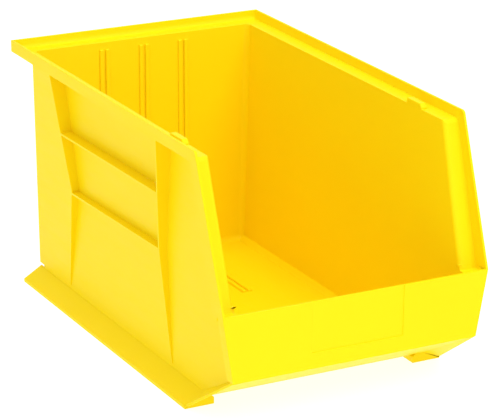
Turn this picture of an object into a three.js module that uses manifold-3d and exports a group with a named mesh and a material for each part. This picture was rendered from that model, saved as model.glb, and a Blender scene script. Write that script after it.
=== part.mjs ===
// Hopper-front stack-and-hang storage bin, in millimetres, +Z up.
// The origin is the middle of the footprint, on the surface that the bin stands on.
// The hopper mouth faces -Y and the hang lip faces +Y. The bin is the same on its left and right.
// The bin is one rigid moulding. It is built here as its walls, rims, ribs and runners,
// each a closed body, with a small seam where two of them meet.
import * as THREE from "three";
import { ConvexGeometry } from "three/addons/geometries/ConvexGeometry.js";
import { mergeVertices } from "three/addons/utils/BufferGeometryUtils.js";
import Module from "manifold-3d";

// ---------------------------------------------------------------- driving dimensions
const binDepth = 457;
const binWidth = 279.4;
const binHeight = 254;

const wallThickness = 3;
const ribThickness = 2.4;
const seam = 0.3;
const sideDraft = 0.028;
const backDraft = 0.019;

// Stacking rim: a flat ledge with an upright lip along its outer edge.
const lipThickness = 2.5;
const lipRise = 9.5;
const lipDraft = 0.013;
const ledgeThickness = 2.5;
const sideLedgeWidth = 15.7;
const rearLedgeWidth = 14;

// Hopper mouth: the rim turns down at the front and runs to the low front wall.
const mouthSetback = 52;
const frontWallTop = 115.5;
const frontWallBottom = 51;
const frontFootInset = 12.7;
const frontWallBottomWidth = binWidth - 2 * frontFootInset;
const mouthLedgeSetbackTop = 11;
const mouthLedgeSetbackBottom = 18;
const mouthShelfDrop = 3.5;
const returnDepth = 12;
const labelWidth = 95.4;
const labelBottom = 66.5;
const labelSink = 1;

// Floor, front ramp and base runners.
const floorTop = 8.5;
const rampRun = 82;
const runnerInset = 2.9;
const runnerWidth = 30.4;
const runnerFront = 75;
const runnerRear = 15;
const runnerWall = 2.6;
const flareTop = 15.5;
const flareEdge = 3.5;
const footLength = 3;

// Hang lip under the rear ledge.
const hangLipInset = 27.7;
const hangLipWidth = binWidth - 2 * hangLipInset;
const hangLipBottom = 230;

// Side pockets: an upright rib, two level ribs and a rear column, deep at the rim and
// running out into the wall at the base.
const ribFoot = 19;
const ribToe = 1;
const columnRearTop = binDepth - 53.3;
const columnRearFoot = binDepth - 16;
const columnFrontTop = binDepth - 94;
const columnFrontWaist = binDepth - 120.5;
const columnFrontFoot = binDepth - 92;
const uprightTop = 129;
const uprightWaist = 143;
const uprightFoot = 136.7;
const upperRibRear = 186;
const upperRibFront = 189.5;
const lowerRibRear = 127.5;
const lowerRibFront = 132.5;

// Divider ribs on the back wall and floor, and the stacking stops on the ledges.
const dividerSpacing = 44.5;
const dividerSlot = 2.2;
const dividerRibWidth = 4.4;
const dividerRibHeight = 2;
const wallRibTop = 237;
const floorRibFront = binDepth - 164;
const floorRibRearGap = 6;
const stopFront = 98;
const stopLength = 26;
const stopWidth = 6.5;
const stopHeight = 5;

// ---------------------------------------------------------------- places worked out from them
const halfWidth = binWidth / 2;
const lipInner = halfWidth - lipThickness;
const ledgeTop = binHeight - lipRise;
const ledgeUnder = ledgeTop - ledgeThickness;
const innerAtRim = lipInner - seam - sideLedgeWidth;
const floorUnder = floorTop - wallThickness;
const backInnerAtRim = binDepth - lipThickness - seam - rearLedgeWidth;
const wallTop = ledgeUnder - seam;

// Depths are measured back from the front of the bin, then moved to the bin's own frame.
const toY = (depth) => depth - binDepth / 2;
const innerX = (z) => innerAtRim - sideDraft * (ledgeTop - z);
const outerX = (z) => innerX(z) + wallThickness;
const lipOuterX = (z) => halfWidth - lipDraft * (binHeight - z);
const lipInnerX = (z) => lipOuterX(z) - lipThickness;
const ledgeOuterX = (z) => lipInnerX(z) - seam;
const backInner = (z) => backInnerAtRim - backDraft * (ledgeTop - z);
const backOuter = (z) => backInner(z) + wallThickness;

// Depth at a height on a straight line through two [depth, height] points.
const depthOnLine = (a, b, z) => a[0] + ((b[0] - a[0]) * (z - a[1])) / (b[1] - a[1]);

// The mouth's outer edge, the face of its ledge and the underside of its ledge, seen from the side.
const mouthShelf = frontWallTop - mouthShelfDrop;
const mouthEdge = (z) => depthOnLine([0, frontWallTop], [mouthSetback, binHeight], z);
const mouthFaceTop = [mouthEdge(ledgeTop) + mouthLedgeSetbackTop, ledgeTop];
const mouthFaceBottom = [mouthEdge(mouthShelf) + mouthLedgeSetbackBottom, mouthShelf];
const mouthFace = (z) => depthOnLine(mouthFaceTop, mouthFaceBottom, z);
const mouthLean = (mouthFaceTop[0] - mouthFaceBottom[0]) / (ledgeTop - mouthShelf);
const alongLevel = Math.hypot(1, mouthLean);
const mouthUnder = (z) => mouthFace(z) + ledgeThickness * alongLevel;
const returnTop = mouthShelf - ledgeThickness - seam;
const frontWallBack = wallThickness + seam;

// The ramp's underside, from the foot of the front wall to the floor.
const rampUnder = (depth) => {
  const fall = (frontWallBottom - floorUnder) / rampRun;
  return frontWallBottom - fall * depth;
};

// The plane that the ribs and columns reach out to: flush with the lip at the rim,
// and down to the wall at the foot of the ribs.
const proudX = (z) => {
  const top = halfWidth - seam;
  const foot = outerX(ribFoot) + ribToe;
  return foot + ((top - foot) * (z - ribFoot)) / (ledgeUnder - ribFoot);
};

// ---------------------------------------------------------------- shape helpers
const wasm = await Module();
wasm.setup();

// A closed mesh as a manifold-3d solid, for cutting and joining.
function solidOf(geometry) {
  const bare = geometry.clone();
  bare.deleteAttribute("normal");
  bare.deleteAttribute("uv");
  const merged = mergeVertices(bare, 1e-4);
  const mesh = new wasm.Mesh({
    numProp: 3,
    vertProperties: new Float32Array(merged.attributes.position.array),
    triVerts: new Uint32Array(merged.index.array),
  });
  return new wasm.Manifold(mesh);
}

// A manifold-3d solid back as a three.js geometry.
function geometryOf(solid) {
  const mesh = solid.getMesh();
  const geometry = new THREE.BufferGeometry();
  geometry.setAttribute("position", new THREE.BufferAttribute(mesh.vertProperties, 3));
  geometry.setIndex(new THREE.BufferAttribute(mesh.triVerts, 1));
  const faceted = geometry.toNonIndexed();
  faceted.computeVertexNormals();
  return faceted;
}

const cut = (body, tool) => geometryOf(solidOf(body).subtract(solidOf(tool)));
const common = (body, tool) => geometryOf(solidOf(body).intersect(solidOf(tool)));

function extrude(points, length) {
  const shape = new THREE.Shape(points.map(([u, v]) => new THREE.Vector2(u, v)));
  return new THREE.ExtrudeGeometry(shape, { depth: length, bevelEnabled: false });
}

// A side outline of [depth, height] points, made solid from x0 to x1.
function sideProfile(points, x0, x1) {
  const axes = new THREE.Matrix4().makeBasis(
    new THREE.Vector3(0, 1, 0),
    new THREE.Vector3(0, 0, 1),
    new THREE.Vector3(1, 0, 0),
  );
  const placed = points.map(([depth, z]) => [toY(depth), z]);
  return extrude(placed, x1 - x0).applyMatrix4(axes).translate(x0, 0, 0);
}

// A front outline of [x, height] points, made solid between two depths.
function frontProfile(points, front, rear) {
  const axes = new THREE.Matrix4().makeBasis(
    new THREE.Vector3(1, 0, 0),
    new THREE.Vector3(0, 0, 1),
    new THREE.Vector3(0, -1, 0),
  );
  return extrude(points, rear - front).applyMatrix4(axes).translate(0, toY(rear), 0);
}

// A flat-sided body around [x, depth, height] corners.
function hull(corners) {
  return new ConvexGeometry(corners.map(([x, depth, z]) => new THREE.Vector3(x, toY(depth), z)));
}

function block(x0, x1, front, rear, z0, z1) {
  const outline = [[x0, z0], [x1, z0], [x1, z1], [x0, z1]];
  return frontProfile(outline, front, rear);
}

// A side outline made solid between two leaning faces, each given as x at a height.
function between(outline, insideX, outsideX) {
  const heights = outline.map(([, z]) => z);
  const corners = [];
  for (const depth of [-1, binDepth + 1]) {
    for (const z of [Math.min(...heights), Math.max(...heights)]) {
      corners.push([insideX(z), depth, z], [outsideX(z), depth, z]);
    }
  }
  return common(sideProfile(outline, 0, binWidth), hull(corners));
}

function mirrored(geometry) {
  const flat = geometry.index ? geometry.toNonIndexed() : geometry.clone();
  const position = flat.getAttribute("position");
  const other = new Float32Array(position.array.length);
  for (let corner = 0; corner < position.count; corner += 1) {
    const turned = corner % 3 === 0 ? corner : corner + (corner % 3 === 1 ? 1 : -1);
    other[3 * corner] = -position.getX(turned);
    other[3 * corner + 1] = position.getY(turned);
    other[3 * corner + 2] = position.getZ(turned);
  }
  const result = new THREE.BufferGeometry();
  result.setAttribute("position", new THREE.BufferAttribute(other, 3));
  result.computeVertexNormals();
  return result;
}

const bin = new THREE.Group();
const yellow = 0xfbdc12;

function addNode(name, geometry) {
  const material = new THREE.MeshStandardMaterial({ color: yellow, roughness: 0.45, metalness: 0 });
  const mesh = new THREE.Mesh(geometry, material);
  mesh.name = name;
  bin.add(mesh);
}

// The right-hand piece as drawn, and its mirror image on the left.
function addPair(name, geometry) {
  addNode(`right_${name}`, geometry);
  addNode(`left_${name}`, mirrored(geometry));
}

// ---------------------------------------------------------------- floor, ramp and walls
function crossPlate(stations) {
  const corners = [];
  for (const [depth, z] of stations) {
    const x = innerX(z) - seam;
    corners.push([-x, depth, z], [x, depth, z]);
  }
  return hull(corners);
}

// The floor and ramp meet on the line that bisects their bend.
const rampTurn = Math.atan2(frontWallBottom - floorUnder, rampRun);
const rampTopFoot = rampRun + wallThickness * Math.tan(rampTurn / 2);
const frontInside = frontWallBack;
const rampThicknessUp = wallThickness * Math.hypot(1, (frontWallBottom - floorUnder) / rampRun);

function floorPanel() {
  const rear = (z) => backInner(z) - seam;
  return crossPlate([
    [rampRun + seam, floorUnder],
    [rampTopFoot + seam, floorTop],
    [rear(floorUnder), floorUnder],
    [rear(floorTop), floorTop],
  ]);
}

function frontRamp() {
  return crossPlate([
    [rampRun, floorUnder],
    [rampTopFoot, floorTop],
    [frontInside, rampUnder(frontInside)],
    [frontInside, rampUnder(frontInside) + rampThicknessUp],
  ]);
}

function backWall() {
  return crossPlate([
    [backInner(floorUnder), floorUnder],
    [backOuter(floorUnder), floorUnder],
    [backInner(wallTop), wallTop],
    [backOuter(wallTop), wallTop],
  ]);
}

function frontWall() {
  const top = lipOuterX(frontWallTop);
  const bottom = frontWallBottomWidth / 2;
  const outline = [
    [-bottom, frontWallBottom],
    [bottom, frontWallBottom],
    [top, frontWallTop],
    [-top, frontWallTop],
  ];
  const plate = frontProfile(outline, 0, wallThickness);
  const x = labelWidth / 2;
  const label = block(-x, x, -1, labelSink, labelBottom, frontWallTop + 1);
  return cut(plate, label);
}

function sideWall() {
  const outline = [
    [rampRun, floorUnder],
    [backOuter(floorUnder), floorUnder],
    [backOuter(wallTop), wallTop],
    [mouthUnder(wallTop) + seam, wallTop],
    [mouthUnder(returnTop) + seam, returnTop],
    [frontInside, returnTop],
    [frontInside, rampUnder(frontInside)],
  ];
  return between(outline, innerX, outerX);
}

addNode("floor_panel", floorPanel());
addNode("front_ramp", frontRamp());
addNode("back_wall", backWall());
addNode("front_wall", frontWall());
addPair("side_wall", sideWall());

// ---------------------------------------------------------------- stacking rim
const ledgeRear = binDepth - lipThickness - seam;
const mitreUnder = [mouthUnder(ledgeUnder), ledgeUnder];
const mitreTop = [mouthFace(ledgeTop), ledgeTop];

function sideLedge() {
  const outline = [
    [mitreUnder[0] + seam, ledgeUnder],
    [ledgeRear, ledgeUnder],
    [ledgeRear, ledgeTop],
    [mitreTop[0] + seam, ledgeTop],
  ];
  return between(outline, innerX, ledgeOuterX);
}

function sideLip() {
  const outline = [
    [mitreUnder[0] + seam, ledgeUnder],
    [binDepth, ledgeUnder],
    [binDepth, binHeight],
    [mouthSetback + seam, binHeight],
  ];
  return between(outline, lipInnerX, lipOuterX);
}

function mouthLedge() {
  const shelfUnder = mouthShelf - ledgeThickness;
  const outline = [
    [frontInside, shelfUnder],
    [mouthUnder(shelfUnder), shelfUnder],
    mitreUnder,
    mitreTop,
    mouthFaceBottom,
    [frontInside, mouthShelf],
  ];
  return between(outline, innerX, ledgeOuterX);
}

function mouthLip() {
  const bottom = returnTop + seam;
  const aboveWall = frontWallTop + seam;
  const outline = [
    [frontInside, bottom],
    [mouthUnder(bottom), bottom],
    mitreUnder,
    [mouthSetback, binHeight],
    [mouthEdge(aboveWall), aboveWall],
    [frontInside, aboveWall],
  ];
  return between(outline, lipInnerX, lipOuterX);
}

function rearLedge() {
  const x = innerAtRim - seam;
  return block(-x, x, backInnerAtRim, ledgeRear, ledgeUnder, ledgeTop);
}

function rearLip() {
  const x = lipInner - seam;
  return block(-x, x, binDepth - lipThickness, binDepth, ledgeUnder, binHeight);
}

function hangLip() {
  const x = hangLipWidth / 2;
  return block(-x, x, binDepth - lipThickness, binDepth, hangLipBottom, ledgeUnder - seam);
}

addPair("rim_ledge", sideLedge());
addPair("rim_lip", sideLip());
addPair("mouth_ledge", mouthLedge());
addPair("mouth_lip", mouthLip());
addNode("rear_ledge", rearLedge());
addNode("rear_lip", rearLip());
addNode("hang_lip", hangLip());

function stackingStop() {
  const rear = stopFront + stopLength;
  const foot = ledgeTop + seam;
  return block(innerAtRim, innerAtRim + stopWidth, stopFront, rear, foot, ledgeTop + stopHeight);
}

addPair("stacking_stop", stackingStop());

// The front wall's sides turn back in line with the lip, down to the foot of the wall.
function frontReturn() {
  const side = (z) =>
    lipOuterX(frontWallTop) -
    ((lipOuterX(frontWallTop) - frontWallBottomWidth / 2) * (frontWallTop - z)) /
      (frontWallTop - frontWallBottom);
  const foot = frontWallBottom + runnerWall + seam;
  const outline = [
    [frontInside, foot],
    [returnDepth, foot],
    [returnDepth, returnTop],
    [frontInside, returnTop],
  ];
  return between(outline, (z) => side(z) - lipThickness, side);
}

addPair("front_return", frontReturn());

// ---------------------------------------------------------------- side ribs and columns
const wallClearX = (z) => outerX(z) + seam;
const ribbed = (outline) => between(outline, wallClearX, proudX);

const waist = (lowerRibRear + lowerRibFront) / 2;
const columnFront = (z) =>
  z > waist
    ? depthOnLine([columnFrontTop, wallTop], [columnFrontWaist, waist], z)
    : depthOnLine([columnFrontFoot, ribFoot], [columnFrontWaist, waist], z);
const uprightFace = (z) =>
  z > waist
    ? depthOnLine([uprightTop, wallTop], [uprightWaist, waist], z)
    : depthOnLine([uprightFoot, ribFoot], [uprightWaist, waist], z);

// The column is a skin in the ribs' plane with a web at its front, open at the back.
function rearColumn() {
  const outline = [
    [columnFrontFoot, ribFoot],
    [columnRearFoot, ribFoot],
    [columnRearTop, wallTop],
    [columnFrontTop, wallTop],
    [columnFrontWaist, waist],
  ];
  const hollow = [
    [columnFront(0) + ribThickness, 0],
    [binDepth, 0],
    [binDepth, binHeight],
    [columnFront(binHeight) + ribThickness, binHeight],
    [columnFrontWaist + ribThickness, waist],
  ];
  const behindSkin = (z) => proudX(z) - wallThickness;
  return cut(ribbed(outline), between(hollow, () => innerX(0) - binDepth, behindSkin));
}

function uprightRib() {
  return ribbed([
    [uprightFoot, ribFoot],
    [uprightFoot + ribThickness, ribFoot],
    [uprightWaist + ribThickness, waist],
    [uprightTop + ribThickness, wallTop],
    [uprightTop, wallTop],
    [uprightWaist, waist],
  ]);
}

function levelRib(rearZ, frontZ) {
  const front = (z) => uprightFace(z) + ribThickness + seam;
  const rear = (z) => columnFront(z) - seam;
  const thickness = ribThickness;
  return ribbed([
    [front(frontZ - thickness), frontZ - thickness],
    [rear(rearZ - thickness), rearZ - thickness],
    [rear(rearZ), rearZ],
    [front(frontZ), frontZ],
  ]);
}

addPair("rear_column", rearColumn());
addPair("upright_rib", uprightRib());
addPair("upper_rib", levelRib(upperRibRear, upperRibFront));
addPair("lower_rib", levelRib(lowerRibRear, lowerRibFront));

// ---------------------------------------------------------------- base runners and feet
const runnerOuter = binWidth / 2 - runnerInset;
const runnerInner = runnerOuter - runnerWidth;
const runnerBack = binDepth - runnerRear;
const runnerTop = floorUnder - seam;
const shoulder = outerX(flareTop) + seam;

// Front outline of a runner: flat under the floor, then a slope from the wall to the outer edge.
const runnerOutline = [
  [runnerInner, 0],
  [runnerOuter, 0],
  [runnerOuter, flareEdge],
  [shoulder, flareTop],
  [shoulder, runnerTop],
  [runnerInner, runnerTop],
];

// The runner is hollow below: the same outline, one wall further in and open at the bottom.
function runner() {
  const slope = (flareTop - flareEdge) / (runnerOuter - shoulder);
  const drop = runnerWall * Math.hypot(1, slope);
  const edge = runnerOuter - runnerWall;
  const under = (x) => flareTop - drop - slope * (x - shoulder);
  const step = shoulder + runnerWall;
  const hollow = [
    [runnerInner + runnerWall, -1],
    [edge, -1],
    [edge, under(edge)],
    [step, under(step)],
    [step, runnerTop - runnerWall],
    [runnerInner + runnerWall, runnerTop - runnerWall],
  ];
  const front = runnerFront + footLength + seam;
  const rear = runnerBack - footLength - seam;
  const body = frontProfile(runnerOutline, front, rear);
  return cut(body, frontProfile(hollow, front - 1, rear + 1));
}

// A foot closes each end of a runner.
function foot(front) {
  return frontProfile(runnerOutline, front, front + footLength);
}

// The edge flange carries the runner's slope up beside the ramp to the foot of the front wall.
function rampFlange() {
  const corner = frontWallBottomWidth / 2;
  const front = frontInside;
  const rear = runnerFront - seam;
  const inside = (z) => outerX(z) + seam;
  const frontZ = rampUnder(front);
  const rearZ = rampUnder(rear);
  const rise = flareTop - rearZ;
  return hull([
    [inside(frontZ), front, frontZ],
    [corner, front, frontZ - seam],
    [inside(frontZ + rise), front, frontZ + rise],
    [corner, front, frontZ + runnerWall],
    [inside(rearZ), rear, rearZ],
    [runnerOuter, rear, flareEdge - runnerWall],
    [inside(flareTop), rear, flareTop],
    [runnerOuter, rear, flareEdge],
  ]);
}

addPair("base_runner", runner());
addPair("front_foot", foot(runnerFront));
addPair("rear_foot", foot(runnerBack - footLength));
addPair("ramp_flange", rampFlange());

// ---------------------------------------------------------------- divider ribs
// A pair of ribs at each divider position makes a slot that a divider drops into.
const dividerPlaces = [
  ["left", -dividerSpacing],
  ["centre", 0],
  ["right", dividerSpacing],
];

function wallDividerRib(x) {
  const foot = floorTop + dividerRibHeight + 2 * seam;
  const half = dividerRibWidth / 2;
  const corners = [];
  for (const z of [foot, wallRibTop]) {
    for (const depth of [backInner(z) - seam - dividerRibHeight, backInner(z) - seam]) {
      corners.push([x - half, depth, z], [x + half, depth, z]);
    }
  }
  return hull(corners);
}

function floorDividerRib(x) {
  const half = dividerRibWidth / 2;
  const rear = backInner(floorTop) - floorRibRearGap;
  const foot = floorTop + seam;
  return block(x - half, x + half, floorRibFront, rear, foot, foot + dividerRibHeight);
}

for (const [place, centre] of dividerPlaces) {
  const toRib = (dividerSlot + dividerRibWidth) / 2;
  const sides = [["a", -toRib], ["b", toRib]];
  for (const [letter, offset] of sides) {
    addNode(`${place}_wall_rib_${letter}`, wallDividerRib(centre + offset));
    addNode(`${place}_floor_rib_${letter}`, floorDividerRib(centre + offset));
  }
}

export default bin;
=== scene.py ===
# %% [markdown]
# # A hopper-front storage bin
# The bin is one injection moulding in yellow polypropylene. A moulding like this has no
# joints: walls, rims and ribs run into each other with small rounded corners. So the lesson
# builds simple solid pieces, joins them into one body, rounds what a mould would round,
# and then adds the parts that stand on the body, such as the runners and the stops.

# %% Load the frame
import math

import bmesh
import bpy
from mathutils import Matrix, Vector


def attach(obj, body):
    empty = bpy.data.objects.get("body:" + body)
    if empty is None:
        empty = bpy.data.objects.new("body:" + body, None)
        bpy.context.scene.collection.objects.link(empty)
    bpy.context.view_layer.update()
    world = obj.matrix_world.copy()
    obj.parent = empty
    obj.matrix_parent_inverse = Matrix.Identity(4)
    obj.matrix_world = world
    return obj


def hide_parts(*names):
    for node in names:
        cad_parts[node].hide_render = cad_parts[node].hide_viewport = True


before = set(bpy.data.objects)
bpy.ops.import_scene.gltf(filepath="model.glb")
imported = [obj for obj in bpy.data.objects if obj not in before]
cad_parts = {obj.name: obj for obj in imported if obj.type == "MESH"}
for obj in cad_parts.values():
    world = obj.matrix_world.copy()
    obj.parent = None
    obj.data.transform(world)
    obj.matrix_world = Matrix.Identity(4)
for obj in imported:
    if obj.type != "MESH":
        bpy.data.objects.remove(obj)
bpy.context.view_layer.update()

# %% [markdown]
# ## The sizes
# All lengths are millimetres here and become metres in one place. Depth is counted from the
# front of the bin, because that is how the outlines of a hopper bin are easiest to read.
# The walls lean a little so that the moulding can leave its mould, which makes the width
# of each face a function of height.

# %% Sizes
MM = 0.001
DEPTH = 457.0
HALF_WIDTH = 139.7
HEIGHT = 254.0
WALL = 3.0
LIP = 2.5
LEDGE_TOP = 244.5
LEDGE_UNDER = 242.0
FLOOR_TOP = 8.5
FLOOR_UNDER = 5.5
FRONT_TOP = 115.5
FRONT_FOOT = 51.0
FRONT_FOOT_HALF = 127.0
RETURN_DEPTH = 12.0
MOUTH_SETBACK = 52.0
SHELF = 112.0
RAMP_RUN = 82.0
RIB = 2.4
RIB_FOOT = 19.0
HOLLOW_FOOT = 60.0
WAIST = 130.0
RUNNER_FRONT = 75.0
RUNNER_BACK = 442.0
RUNNER_OUTER = 136.8
RUNNER_INNER = 106.4
FLARE_TOP = 15.5
FLARE_EDGE = 3.5
SMALL_ROUND = 0.5

INSIDE_HALF_AT_RIM = 121.2
SIDE_DRAFT = 0.028
LIP_DRAFT = 0.013
BACK_AT_RIM = 440.2
BACK_DRAFT = 0.019
MOUTH_LEDGE = 2.63
MOUTH_LEDGE_FOOT = (16.7, SHELF)
MOUTH_LEDGE_TOP = (59.4, LEDGE_TOP)
RIB_TOE = 1.0


def inner_x(z):
    return INSIDE_HALF_AT_RIM - SIDE_DRAFT * (LEDGE_TOP - z)


def outer_x(z):
    return inner_x(z) + WALL


def lip_x(z):
    return HALF_WIDTH - LIP_DRAFT * (HEIGHT - z)


def back_inner(z):
    return BACK_AT_RIM - BACK_DRAFT * (LEDGE_TOP - z)


def back_outer(z):
    return back_inner(z) + WALL


def on_line(a, b, z):
    """Depth at a height on the straight line through two (depth, height) points."""
    return a[0] + (b[0] - a[0]) * (z - a[1]) / (b[1] - a[1])


def mouth_face(z):
    return on_line(MOUTH_LEDGE_FOOT, MOUTH_LEDGE_TOP, z)


def mouth_under(z):
    return mouth_face(z) + MOUTH_LEDGE


def ramp_under(depth):
    return FRONT_FOOT - (FRONT_FOOT - FLOOR_UNDER) / RAMP_RUN * depth


def proud_x(z):
    """The plane that the ribs reach: the lip at the top, close to the wall at the foot."""
    foot = outer_x(RIB_FOOT) + RIB_TOE
    reach = lip_x(LEDGE_UNDER) - foot
    return foot + reach * (z - RIB_FOOT) / (LEDGE_UNDER - RIB_FOOT)


print("wall half width at the floor and rim", inner_x(FLOOR_TOP), inner_x(LEDGE_TOP))

# %% [markdown]
# ## Tools for solid pieces
# Nearly everything on this bin is a side outline made solid across the width, with faces
# that lean. One helper makes the outline as a face, extrudes it, and then slides each
# corner sideways to the leaning face. Another rounds chosen edges with the bevel operator.

# %% Helpers
def side_solid(outline, inside, outside):
    """A side outline of (depth, height) points, solid between two leaning faces."""
    bm = bmesh.new()
    corners = [bm.verts.new((0, d - DEPTH / 2, z)) for d, z in outline]
    face = bm.faces.new(corners)
    made = bmesh.ops.extrude_face_region(bm, geom=[face])
    far = [v for v in made["geom"] if isinstance(v, bmesh.types.BMVert)]
    near = [v for v in bm.verts if v not in set(far)]
    for vert in near:
        vert.co.x = inside(vert.co.z)
    for vert in far:
        vert.co.x = outside(vert.co.z)
    bmesh.ops.recalc_face_normals(bm, faces=bm.faces)
    return bm


def block(x0, x1, d0, d1, z0, z1):
    return side_solid(
        [(d0, z0), (d1, z0), (d1, z1), (d0, z1)], lambda z: x0, lambda z: x1
    )


def round_edges(bm, chosen, radius, segments=4):
    """Rounds every edge for which chosen(middle, direction) is true."""
    edges = []
    for edge in bm.edges:
        a, b = edge.verts[0].co, edge.verts[1].co
        middle = (a + b) / 2 + Vector((0, DEPTH / 2, 0))
        if chosen(middle, (b - a).normalized()):
            edges.append(edge)
    bmesh.ops.bevel(
        bm,
        geom=edges,
        offset=radius,
        offset_type="OFFSET",
        segments=segments,
        profile=0.5,
        affect="EDGES",
        clamp_overlap=True,
        material=-1,
    )
    return bm


def mirrored(bm):
    other = bm.copy()
    bmesh.ops.scale(other, vec=(-1, 1, 1), verts=other.verts)
    bmesh.ops.reverse_faces(other, faces=other.faces)
    return other


def to_object(name, bm):
    """Puts the finished millimetre solid in the scene, in metres."""
    bmesh.ops.scale(bm, vec=(MM, MM, MM), verts=bm.verts)
    mesh = bpy.data.meshes.new(name)
    bm.to_mesh(mesh)
    bm.free()
    piece = bpy.data.objects.new(name, mesh)
    bpy.context.scene.collection.objects.link(piece)
    return piece


def settle(piece):
    """Writes a piece's modifiers into its mesh."""
    bpy.context.view_layer.update()
    depsgraph = bpy.context.evaluated_depsgraph_get()
    mesh = bpy.data.meshes.new_from_object(piece.evaluated_get(depsgraph))
    piece.modifiers.clear()
    piece.data = mesh
    return piece


def combine(piece, others, operation):
    """Joins solids to a piece, or cuts them out of it."""
    for other in others:
        step = piece.modifiers.new("solid", "BOOLEAN")
        step.operation = operation
        step.solver = "EXACT"
        step.object = other
        settle(piece)
        bpy.data.objects.remove(other)
    return piece


def tidy_faces(piece):
    """Merges stray points and flat neighbouring faces left by joining and cutting."""
    bm = bmesh.new()
    bm.from_mesh(piece.data)
    bmesh.ops.remove_doubles(bm, verts=bm.verts, dist=0.02 * MM)
    bmesh.ops.dissolve_limit(
        bm, angle_limit=math.radians(0.6), verts=bm.verts, edges=bm.edges
    )
    bm.to_mesh(piece.data)
    bm.free()
    return piece


def split_faces(piece, depths, widths):
    """Cuts broad ring-shaped faces into simple ones, which round and shade cleanly."""
    bm = bmesh.new()
    bm.from_mesh(piece.data)
    planes = [((0, (d - DEPTH / 2) * MM, 0), (0, 1, 0)) for d in depths]
    planes += [((x * MM, 0, 0), (1, 0, 0)) for x in widths]
    for point, normal in planes:
        bmesh.ops.bisect_plane(
            bm,
            geom=bm.verts[:] + bm.edges[:] + bm.faces[:],
            dist=1e-7,
            plane_co=point,
            plane_no=normal,
        )
    bm.to_mesh(piece.data)
    bm.free()
    return piece


def soften(piece, radius=SMALL_ROUND, segments=2, angle=30):
    """Rounds the sharp edges a little, as every moulded edge is."""
    bevel = piece.modifiers.new("edge_rounding", "BEVEL")
    bevel.width = radius * MM
    bevel.segments = segments
    bevel.limit_method = "ANGLE"
    bevel.angle_limit = math.radians(angle)
    bevel.use_clamp_overlap = False
    bevel.miter_outer = "MITER_ARC"
    settle(piece)
    return piece


def open_edges(piece):
    """How many edges don't have exactly two faces: none, on a closed body."""
    bm = bmesh.new()
    bm.from_mesh(piece.data)
    count = sum(1 for edge in bm.edges if len(edge.link_faces) != 2)
    bm.free()
    return count


def smooth(piece, angle=38):
    """Smooth shading over the rounded corners, crisp where faces really meet."""
    piece.data.shade_smooth()
    piece.data.set_sharp_from_angle(angle=math.radians(angle))
    normals = piece.modifiers.new("even_shading", "WEIGHTED_NORMAL")
    normals.keep_sharp = True
    normals.weight = 80
    return piece


print("helpers ready")

# %% [markdown]
# ## Yellow polypropylene
# Moulded polypropylene is satin, takes a fine texture from the mould, lets a little light
# into its surface and picks up faint rubbed marks in use. The colour is a strong yellow:
# light that bounces about inside the bin turns orange by itself, so no orange is painted in.

# %% Material
def value_noise(nodes, links, coords, scale, detail=3.0, roughness=0.55):
    noise = nodes.new("ShaderNodeTexNoise")
    noise.inputs["Scale"].default_value = scale
    noise.inputs["Detail"].default_value = detail
    noise.inputs["Roughness"].default_value = roughness
    links.new(coords, noise.inputs["Vector"])
    return noise


def remap(nodes, links, value, low, high, out_low, out_high):
    step = nodes.new("ShaderNodeMapRange")
    step.inputs["From Min"].default_value = low
    step.inputs["From Max"].default_value = high
    step.inputs["To Min"].default_value = out_low
    step.inputs["To Max"].default_value = out_high
    links.new(value, step.inputs["Value"])
    return step


def polypropylene(name, color, rubbed=0.05):
    material = bpy.data.materials.new(name)
    material.use_nodes = True
    nodes, links = material.node_tree.nodes, material.node_tree.links
    shader = nodes["Principled BSDF"]
    coords = nodes.new("ShaderNodeTexCoord").outputs["Object"]

    cloud = value_noise(nodes, links, coords, 9.0, 4.0)
    tint = nodes.new("ShaderNodeMix")
    tint.data_type = "RGBA"
    tint.inputs["A"].default_value = (*color, 1)
    tint.inputs["B"].default_value = (color[0] * 0.97, color[1] * 0.95, color[2] * 0.8, 1)
    links.new(cloud.outputs["Fac"], tint.inputs["Factor"])
    links.new(tint.outputs["Result"], shader.inputs["Base Color"])

    streaks = nodes.new("ShaderNodeMapping")
    streaks.inputs["Scale"].default_value = (30, 6, 45)
    links.new(coords, streaks.inputs["Vector"])
    wear = value_noise(nodes, links, streaks.outputs["Vector"], 3.0, 6.0, 0.7)
    rough = remap(nodes, links, wear.outputs["Fac"], 0.35, 0.75, 0.36, 0.36 + rubbed * 3)
    links.new(rough.outputs["Result"], shader.inputs["Roughness"])

    grain = value_noise(nodes, links, coords, 1400.0, 2.0)
    ripple = value_noise(nodes, links, coords, 14.0, 2.0)
    fine = nodes.new("ShaderNodeBump")
    fine.inputs["Strength"].default_value = 0.08
    fine.inputs["Distance"].default_value = 0.0004
    links.new(grain.outputs["Fac"], fine.inputs["Height"])
    wavy = nodes.new("ShaderNodeBump")
    wavy.inputs["Strength"].default_value = 0.12
    wavy.inputs["Distance"].default_value = 0.004
    links.new(ripple.outputs["Fac"], wavy.inputs["Height"])
    links.new(fine.outputs["Normal"], wavy.inputs["Normal"])
    links.new(wavy.outputs["Normal"], shader.inputs["Normal"])

    shader.inputs["Subsurface Weight"].default_value = 0.12
    shader.inputs["Subsurface Radius"].default_value = (1.0, 0.6, 0.1)
    shader.inputs["Subsurface Scale"].default_value = 0.003
    shader.inputs["IOR"].default_value = 1.49
    shader.inputs["Specular IOR Level"].default_value = 0.09
    return material


YELLOW = polypropylene("yellow_polypropylene", (1.0, 0.765, 0.004))
print("material ready")


def finish_piece(piece, *nodes):
    piece.data.materials.clear()
    piece.data.materials.append(YELLOW)
    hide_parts(*nodes)
    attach(piece, "root")
    print(piece.name, len(piece.data.polygons), "faces,", open_edges(piece), "open edges")
    return piece


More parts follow.
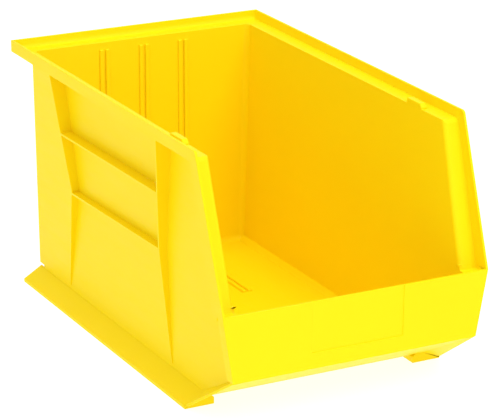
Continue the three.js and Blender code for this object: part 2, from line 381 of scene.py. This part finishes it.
# %% [markdown]
# ## The tub
# A block in the shape of the bin's outside is the start: floor, back, sides and the ramp
# that climbs to the front wall. Later the inside is cut out of it in one go, so wall
# thickness comes from the two shapes and all inside corners can be rounded first.

# %% Tub outside
BACK_CORNER_ROUND = 8
BACK_FOOT_ROUND = 6
tub_outline = [
    (0.0, FRONT_FOOT),
    (RAMP_RUN, FLOOR_UNDER),
    (back_outer(FLOOR_UNDER), FLOOR_UNDER),
    (back_outer(LEDGE_UNDER + 1), LEDGE_UNDER + 1),
    (mouth_under(LEDGE_UNDER + 1), LEDGE_UNDER + 1),
    (mouth_under(SHELF - 1.5), SHELF - 1.5),
    (0.0, SHELF - 1.5),
]
tub = side_solid(tub_outline, lambda z: -outer_x(z), outer_x)
round_edges(tub, lambda m, d: m.y > 430 and abs(d.z) > 0.9, BACK_CORNER_ROUND, 5)
round_edges(
    tub, lambda m, d: m.z < 12 and abs(d.x) > 0.9 and m.y > 400, BACK_FOOT_ROUND, 4
)
shell = to_object("bin_shell", tub)
print("tub outside")

# %% [markdown]
# ## Front wall
# The low front wall is wider than the tub. Its ends turn back in line with the rim's lip,
# which stiffens the mouth. The label's shallow recess is cut later, when the wall has
# become part of the shell.

# %% Front wall and returns
def front_half(z):
    reach = lip_x(FRONT_TOP) - FRONT_FOOT_HALF
    return FRONT_FOOT_HALF + reach * (z - FRONT_FOOT) / (FRONT_TOP - FRONT_FOOT)


def front_tray(grow, front, rear, low, high):
    outline = [(front, low), (rear, low), (rear, high), (front, high)]
    return side_solid(
        outline, lambda z: -front_half(z) - grow, lambda z: front_half(z) + grow
    )


front = to_object("front", front_tray(0, 0, RETURN_DEPTH, FRONT_FOOT, FRONT_TOP))
hollow = to_object("hollow", front_tray(-WALL, WALL, 40, 20, 140))
combine(front, [hollow], "DIFFERENCE")
print("front wall")

# %% [markdown]
# ## The rim
# The rim is a flat ledge with an upright lip round its outside. It carries the runners of
# the bin stacked on top, and it makes the thin walls stiff. At the front it bends and
# follows the mouth down to the front wall, with a small rounding on the bend.

# %% Rim
RIM_START = SHELF - 2.5
LEDGE_INTO_LIP = 1.2
HANG_HALF = 112
HANG_BOTTOM = 230


def bend(m, d):
    return abs(d.x) > 0.9 and m.y < 75 and m.z > 235


ledge_outline = [
    (1.5, RIM_START),
    (mouth_under(RIM_START), RIM_START),
    (mouth_under(LEDGE_UNDER), LEDGE_UNDER),
    (DEPTH - 1, LEDGE_UNDER),
    (DEPTH - 1, LEDGE_TOP),
    (mouth_face(LEDGE_TOP), LEDGE_TOP),
    (mouth_face(SHELF), SHELF),
    (1.5, SHELF),
]
lip_outline = [
    (RETURN_DEPTH - 1, RIM_START),
    (mouth_under(RIM_START), RIM_START),
    (mouth_under(LEDGE_UNDER), LEDGE_UNDER),
    (DEPTH, LEDGE_UNDER),
    (DEPTH, HEIGHT),
    (MOUTH_SETBACK, HEIGHT),
    (0.0, FRONT_TOP),
    (RETURN_DEPTH - 1, FRONT_TOP),
]
within_lip = [(-50.0, 60.0), (DEPTH - LIP, 60.0), (DEPTH - LIP, 300.0), (-50.0, 300.0)]
ledge = side_solid(
    ledge_outline, lambda z: LEDGE_INTO_LIP - lip_x(z), lambda z: lip_x(z) - LEDGE_INTO_LIP
)
round_edges(ledge, lambda m, d: bend(m, d) and m.z > 243, 4.0, 5)
lip = side_solid(lip_outline, lambda z: -lip_x(z), lip_x)
round_edges(lip, lambda m, d: bend(m, d) and m.z > 250, 3.0, 4)
lip = to_object("lip", lip)
room = side_solid(within_lip, lambda z: LIP - lip_x(z), lambda z: lip_x(z) - LIP)
combine(lip, [to_object("room", room)], "DIFFERENCE")
hang = block(-HANG_HALF, HANG_HALF, DEPTH - LIP, DEPTH, HANG_BOTTOM, LEDGE_UNDER + 1)
rim = [to_object("ledge", ledge), lip, to_object("hang_lip", hang)]
print("rim pieces", len(rim))

# %% [markdown]
# ## Side ribs and rear columns
# The ledge stands out from the walls, so each side has an upright rib, two level ribs and
# a broad hollow column at the rear. All of them are deep at the rim and run out to almost
# nothing at the base. They share one outer plane, so each side starts as one solid, and
# the three pockets and the column's hollow are cut out of it.

# %% Ribs and columns
RIB_TOP = LEDGE_UNDER
COLUMN_TOP = (363.0, RIB_TOP)
COLUMN_WAIST = (336.5, WAIST)
COLUMN_FOOT = (365.0, RIB_FOOT)
COLUMN_REAR_TOP = (403.7, RIB_TOP)
COLUMN_REAR_FOOT = (441.0, RIB_FOOT)
UPRIGHT_TOP = (129.0, RIB_TOP)
UPRIGHT_WAIST = (143.0, WAIST)
UPRIGHT_FOOT = (136.7, RIB_FOOT)
UPPER_RIB_FRONT = 189.5
UPPER_RIB_REAR = 186.0
LOWER_RIB_FRONT = 132.5
LOWER_RIB_REAR = 127.5
BEHIND = 470.0


def column_front(z):
    return on_line(COLUMN_WAIST, COLUMN_TOP if z > WAIST else COLUMN_FOOT, z)


def upright_face(z):
    return on_line(UPRIGHT_WAIST, UPRIGHT_TOP if z > WAIST else UPRIGHT_FOOT, z)


def rib_solid(outline):
    return side_solid(outline, lambda z: outer_x(z) - 1.2, proud_x)


frame_outline = [
    (upright_face(RIB_FOOT), RIB_FOOT),
    COLUMN_REAR_FOOT,
    COLUMN_REAR_TOP,
    (upright_face(RIB_TOP), RIB_TOP),
    (upright_face(WAIST), WAIST),
]


def pocket(low_front, low_rear, high_rear, high_front, bends=()):
    """A recess between the upright rib and the column, open to the outside."""
    outline = [
        (upright_face(low_front) + RIB, low_front),
        (column_front(low_rear), low_rear),
        *((column_front(z), z) for z in bends),
        (column_front(high_rear), high_rear),
        (upright_face(high_front) + RIB, high_front),
    ]
    return side_solid(outline, lambda z: 100, lambda z: 160)


def column_hollow():
    """The space inside a column, open to the rear."""
    outline = [
        (column_front(HOLLOW_FOOT) + RIB, HOLLOW_FOOT),
        (BEHIND, HOLLOW_FOOT),
        (BEHIND, LEDGE_UNDER + 1),
        (column_front(LEDGE_UNDER + 1) + RIB, LEDGE_UNDER + 1),
        (column_front(WAIST) + RIB, WAIST),
    ]
    return side_solid(outline, lambda z: outer_x(z) - 0.3, lambda z: proud_x(z) - WALL)


ribs = []
for side in ("left", "right"):
    solid = rib_solid(frame_outline)
    cutters = [
        pocket(UPPER_RIB_FRONT, UPPER_RIB_REAR, 245.0, 245.0),
        pocket(
            LOWER_RIB_FRONT,
            LOWER_RIB_REAR,
            UPPER_RIB_REAR - RIB,
            UPPER_RIB_FRONT - RIB,
            bends=[WAIST],
        ),
        pocket(10.0, 10.0, LOWER_RIB_REAR - RIB, WAIST),
        column_hollow(),
    ]
    if side == "left":
        solid = mirrored(solid)
        cutters = [mirrored(cutter) for cutter in cutters]
    solid = to_object(side + "_ribs", solid)
    combine(solid, [to_object("cutter", cutter) for cutter in cutters], "DIFFERENCE")
    ribs.append(solid)
print("ribs and columns", len(ribs))

# %% [markdown]
# ## Cutting the inside
# The space for the goods is one block with rounded edges. It takes away the inside of the
# tub and trims the rim to the same face, so the ledge's inner edge and the wall agree.
# Then a label recess is sunk in the front wall, open at the top so that a card can be
# pressed in from above, and the ledge's inner edge beside the mouth is rounded.

# %% Inside
RAMP_THICKNESS_UP = 3.42
RAMP_TOP_RUN = RAMP_RUN + 0.8
OPEN_FROM = 140.0
ABOVE = 300.0
LABEL_HALF = 47.7
LABEL_FOOT = 66.5
LABEL_SINK = 1.0
INSIDE_ROUND = 6.0

cavity_outline = [
    (WALL, ramp_under(WALL) + RAMP_THICKNESS_UP),
    (WALL, OPEN_FROM),
    (-30.0, OPEN_FROM),
    (-30.0, ABOVE),
    (back_inner(ABOVE), ABOVE),
    (back_inner(FLOOR_TOP), FLOOR_TOP),
    (RAMP_TOP_RUN, FLOOR_TOP),
]
cavity = side_solid(cavity_outline, lambda z: -inner_x(z), inner_x)


def inside_corner(m, d):
    return m.y > 1 and m.z < 200 and not (abs(d.x) > 0.9 and m.z > 120)


def strip(sections):
    """A solid between two many-sided ends, each a list of (x, depth, height) points."""
    bm = bmesh.new()
    rings = [[bm.verts.new((x, d - DEPTH / 2, z)) for x, d, z in ring] for ring in sections]
    count = len(rings[0])
    for i in range(count):
        j = (i + 1) % count
        bm.faces.new([rings[0][i], rings[0][j], rings[1][j], rings[1][i]])
    bm.faces.new(rings[0])
    bm.faces.new(rings[1])
    bmesh.ops.recalc_face_normals(bm, faces=bm.faces)
    return bm


def mouth_round(z, radius=4.5, steps=6):
    """Section of what is taken off the ledge's inner edge beside the mouth."""
    x, d = inner_x(z), mouth_face(z)
    ring = [(x - 2, d + radius, z), (x - 2, d - 2, z), (x + radius, d - 2, z)]
    for i in range(steps + 1):
        turn = math.pi / 2 * i / steps
        sideways = radius - radius * math.sin(turn)
        back = radius - radius * math.cos(turn)
        ring.append((x + sideways, d + back, z))
    return ring


round_edges(cavity, inside_corner, INSIDE_ROUND, 5)
combine(shell, [front] + rim + ribs, "UNION")
combine(shell, [to_object("cavity", cavity)], "DIFFERENCE")
label = block(-LABEL_HALF, LABEL_HALF, -5, LABEL_SINK, LABEL_FOOT, 130)
round_edges(label, lambda m, d: abs(d.y) > 0.9 and m.z < 70, LABEL_SINK, 3)
combine(shell, [to_object("label", label)], "DIFFERENCE")
for side in ("left", "right"):
    taken = strip([mouth_round(FRONT_TOP + 1), mouth_round(HEIGHT)])
    taken = mirrored(taken) if side == "left" else taken
    combine(shell, [to_object("taken", taken)], "DIFFERENCE")
print("shell", len(shell.data.polygons), "faces,", open_edges(shell), "open edges")

# %% [markdown]
# ## Soft edges on the shell
# Two long edges behind the rear ledge get a wide rounding. Then every sharp edge gets a
# small one, as in a mould, after the ring-shaped faces have been cut into simple ones.

# %% Round the shell's edges
def round_places(piece, chosen, radius, segments):
    """Rounds chosen edges of a finished solid, with the choice made in millimetres."""
    bm = bmesh.new()
    bm.from_mesh(piece.data)
    bmesh.ops.scale(bm, vec=(1 / MM, 1 / MM, 1 / MM), verts=bm.verts)
    round_edges(bm, chosen, radius, segments)
    bmesh.ops.scale(bm, vec=(MM, MM, MM), verts=bm.verts)
    bm.to_mesh(piece.data)
    bm.free()
    return piece


def rear_ledge_edge(m, d):
    return abs(m.z - LEDGE_TOP) < 0.3 and abs(m.y - BACK_AT_RIM) < 1 and abs(d.x) > 0.95


def rear_lip_root(m, d):
    at_lip = abs(m.y - (DEPTH - LIP)) < 0.6
    return abs(m.z - LEDGE_TOP) < 0.3 and at_lip and abs(d.x) > 0.95


tidy_faces(shell)
round_places(shell, rear_ledge_edge, 7.0, 5)
round_places(shell, rear_lip_root, 4.5, 5)
print("rim rounded,", open_edges(shell), "open edges")
split_faces(shell, (60, 430), (-60, 0, 60))
soften(shell)
smooth(shell)
SINGLE = [
    "floor_panel",
    "front_ramp",
    "front_wall",
    "back_wall",
    "rear_ledge",
    "rear_lip",
    "hang_lip",
]
PAIRED = [
    "side_wall",
    "rim_ledge",
    "rim_lip",
    "mouth_ledge",
    "mouth_lip",
    "front_return",
    "rear_column",
    "upright_rib",
    "upper_rib",
    "lower_rib",
]
both_sides = [side + "_" + name for name in PAIRED for side in ("left", "right")]
finish_piece(shell, *SINGLE, *both_sides)

# %% [markdown]
# ## Runners
# Two runners carry the bin. Each has a sloping outer skirt that runs out from the wall,
# and closed ends. Ahead of the front end a flange carries the skirt's slope up beside the
# ramp to the foot of the front wall.

# %% Runners, feet and ramp flanges
SHOULDER = outer_x(FLARE_TOP) - 0.8
RUNNER_WALL = 2.6
UNDER = -3


def front_solid(outline, d0, d1):
    """A front outline of (x, height) points, solid from one depth to another."""
    bm = bmesh.new()
    face = bm.faces.new([bm.verts.new((x, d0 - DEPTH / 2, z)) for x, z in outline])
    made = bmesh.ops.extrude_face_region(bm, geom=[face])
    far = [v for v in made["geom"] if isinstance(v, bmesh.types.BMVert)]
    bmesh.ops.translate(bm, verts=far, vec=(0, d1 - d0, 0))
    bmesh.ops.recalc_face_normals(bm, faces=bm.faces)
    return bm


def flange_solid():
    """The sloping strip beside the ramp, as a block whose corners follow the two ends."""
    bm = block(0, 1, 2.0, RUNNER_FRONT + 1, 0, 1)
    rise = FLARE_TOP - ramp_under(RUNNER_FRONT)
    for vert in bm.verts:
        outside, upper = vert.co.x > 0.5, vert.co.z > 0.5
        if vert.co.y + DEPTH / 2 < 10:
            x = FRONT_FOOT_HALF if outside else outer_x(FRONT_FOOT) - 1
            z = ramp_under(2.0)
            z += (RUNNER_WALL if outside else rise) if upper else 0
        else:
            x = RUNNER_OUTER if outside else SHOULDER
            z = (FLARE_EDGE if outside else FLARE_TOP) if upper else 0.9
            z = z if upper or outside else ramp_under(RUNNER_FRONT)
        vert.co.x, vert.co.z = x, z
    bmesh.ops.recalc_face_normals(bm, faces=bm.faces)
    return bm


runner_outline = [
    (RUNNER_INNER, 0),
    (RUNNER_OUTER, 0),
    (RUNNER_OUTER, FLARE_EDGE),
    (SHOULDER, FLARE_TOP),
    (RUNNER_INNER, FLOOR_UNDER + 1),
]
under_outline = [
    (RUNNER_INNER + RUNNER_WALL, UNDER),
    (RUNNER_OUTER - RUNNER_WALL, UNDER),
    (RUNNER_OUTER - RUNNER_WALL, 2.0),
    (SHOULDER + RUNNER_WALL, 10.2),
    (RUNNER_INNER + RUNNER_WALL, 2.9),
]
for side in ("left", "right"):
    runner = front_solid(runner_outline, RUNNER_FRONT, RUNNER_BACK)
    under = front_solid(
        under_outline, RUNNER_FRONT + RUNNER_WALL, RUNNER_BACK - RUNNER_WALL
    )
    flange = flange_solid()
    if side == "left":
        runner, under, flange = mirrored(runner), mirrored(under), mirrored(flange)
    piece = to_object("runner_" + side, runner)
    combine(piece, [to_object("under", under)], "DIFFERENCE")
    combine(piece, [to_object("flange", flange)], "UNION")
    tidy_faces(piece)
    soften(piece, 0.6)
    smooth(piece)
    names = ("base_runner", "front_foot", "rear_foot", "ramp_flange")
    finish_piece(piece, *[side + "_" + name for name in names])

# %% [markdown]
# ## Stacking stops
# A small raised block on each ledge, with a sloping front end, stops the bin on top from
# sliding forward.

# %% Stops
STOP_FRONT = 98.0
STOP_BACK = 124.0
STOP_HALF = 127.7
STOP_HEIGHT = 4.8
stop_outline = [
    (STOP_FRONT, LEDGE_TOP - 1),
    (STOP_BACK, LEDGE_TOP - 1),
    (STOP_BACK, LEDGE_TOP + STOP_HEIGHT),
    (STOP_FRONT + 3.5, LEDGE_TOP + STOP_HEIGHT),
    (STOP_FRONT, LEDGE_TOP + 1.5),
]
for side, sign in (("left", -1), ("right", 1)):
    x0, x1 = sorted((sign * inner_x(LEDGE_TOP), sign * STOP_HALF))
    stop = side_solid(stop_outline, lambda z, x0=x0: x0, lambda z, x1=x1: x1)
    stop = to_object("stop_" + side, stop)
    soften(stop, 0.8, 3)
    smooth(stop)
    finish_piece(stop, side + "_stacking_stop")

# %% [markdown]
# ## Divider ribs
# Pairs of thin ribs on the back wall and the floor make slots for loose dividers. They
# are low, with a rounded crest, and run into the wall and the floor.

# %% Divider ribs
RIB_REACH = 2.3
RIB_HALF = 2.2
DIVIDER_SPACING = 44.5
SLOT_TO_RIB = 3.3
WALL_RIB_FOOT = 11.5
WALL_RIB_TOP = 237
FLOOR_RIB_FRONT = 293
FLOOR_RIB_BACK = 429


def wall_rib_solid(x):
    outline = [
        (back_inner(WALL_RIB_FOOT) - RIB_REACH, WALL_RIB_FOOT),
        (back_inner(WALL_RIB_FOOT) + 1, WALL_RIB_FOOT),
        (back_inner(WALL_RIB_TOP) + 1, WALL_RIB_TOP),
        (back_inner(WALL_RIB_TOP) - RIB_REACH, WALL_RIB_TOP),
    ]
    return side_solid(outline, lambda z: x - RIB_HALF, lambda z: x + RIB_HALF)


def floor_rib_solid(x):
    return block(
        x - RIB_HALF,
        x + RIB_HALF,
        FLOOR_RIB_FRONT,
        FLOOR_RIB_BACK,
        FLOOR_TOP - 1,
        FLOOR_TOP + RIB_REACH,
    )


for place, centre in (("left", -DIVIDER_SPACING), ("centre", 0), ("right", DIVIDER_SPACING)):
    for letter, offset in (("a", -SLOT_TO_RIB), ("b", SLOT_TO_RIB)):
        for where, solid in (("wall", wall_rib_solid), ("floor", floor_rib_solid)):
            rib = to_object(f"{where}_divider_rib_{place}_{letter}", solid(centre + offset))
            soften(rib, 1.0, 3)
            smooth(rib)
            finish_piece(rib, f"{place}_{where}_rib_{letter}")

# %% [markdown]
# ## The setting
# A pale floor, a white surround and large soft lamps. The camera looks from the front
# left and a little above, with a long lens.

# %% Floor, light and camera
floor_bm = bmesh.new()
bmesh.ops.create_grid(floor_bm, x_segments=1, y_segments=1, size=6)
floor_mesh = bpy.data.meshes.new("floor")
floor_bm.to_mesh(floor_mesh)
floor_bm.free()
floor = bpy.data.objects.new("floor", floor_mesh)
bpy.context.scene.collection.objects.link(floor)
pale = bpy.data.materials.new("pale_floor")
pale.use_nodes = True
pale_shader = pale.node_tree.nodes["Principled BSDF"]
pale_shader.inputs["Base Color"].default_value = (0.35, 0.35, 0.36, 1)
pale_shader.inputs["Roughness"].default_value = 0.9
pale_shader.inputs["Emission Color"].default_value = (1, 1, 1, 1)
pale_shader.inputs["Emission Strength"].default_value = 0.85
floor_mesh.materials.append(pale)

world = bpy.data.worlds.new("studio")
world.use_nodes = True
world.node_tree.nodes["Background"].inputs["Color"].default_value = (1, 1, 1, 1)
world.node_tree.nodes["Background"].inputs["Strength"].default_value = 0.74
bpy.context.scene.world = world


def lamp(name, place, size, power):
    data = bpy.data.lights.new(name, "AREA")
    data.shape = "RECTANGLE"
    data.size, data.size_y = size
    data.energy = power
    piece = bpy.data.objects.new(name, data)
    piece.location = place
    towards_bin = Vector((0, 0, 0.1)) - Vector(place)
    piece.rotation_euler = towards_bin.to_track_quat("-Z", "Y").to_euler()
    bpy.context.scene.collection.objects.link(piece)


lamp("key", (0.4, -2.6, 2.6), (1.8, 1.4), 41)
lamp("top", (-0.1, 0.0, 2.6), (1.4, 1.4), 19)
lamp("fill", (-2.8, -0.6, 1.6), (1.6, 1.6), 4)
bpy.context.scene.view_settings.view_transform = "Standard"

AZIMUTH = math.radians(28.42)
ELEVATION = math.radians(19.19)
ROLL = math.radians(0.66)
forward = Vector(
    (
        math.sin(AZIMUTH) * math.cos(ELEVATION),
        math.cos(AZIMUTH) * math.cos(ELEVATION),
        -math.sin(ELEVATION),
    )
)
level = Vector((math.cos(AZIMUTH), -math.sin(AZIMUTH), 0))
upward = level.cross(forward)
right = level * math.cos(ROLL) + upward * math.sin(ROLL)
up = right.cross(forward)
camera_data = bpy.data.cameras.new("camera")
camera_data.sensor_width = 36
camera_data.lens = 183.8
camera_data.clip_end = 50
camera_data.shift_x = -0.0021
camera_data.shift_y = 0.0006
camera = bpy.data.objects.new("camera", camera_data)
turn = Matrix((right, up, -forward)).transposed().to_4x4()
camera.matrix_world = Matrix.Translation((-1.1015, -2.0587, 0.9363)) @ turn
bpy.context.scene.collection.objects.link(camera)
bpy.context.scene.camera = camera
print("setting ready")
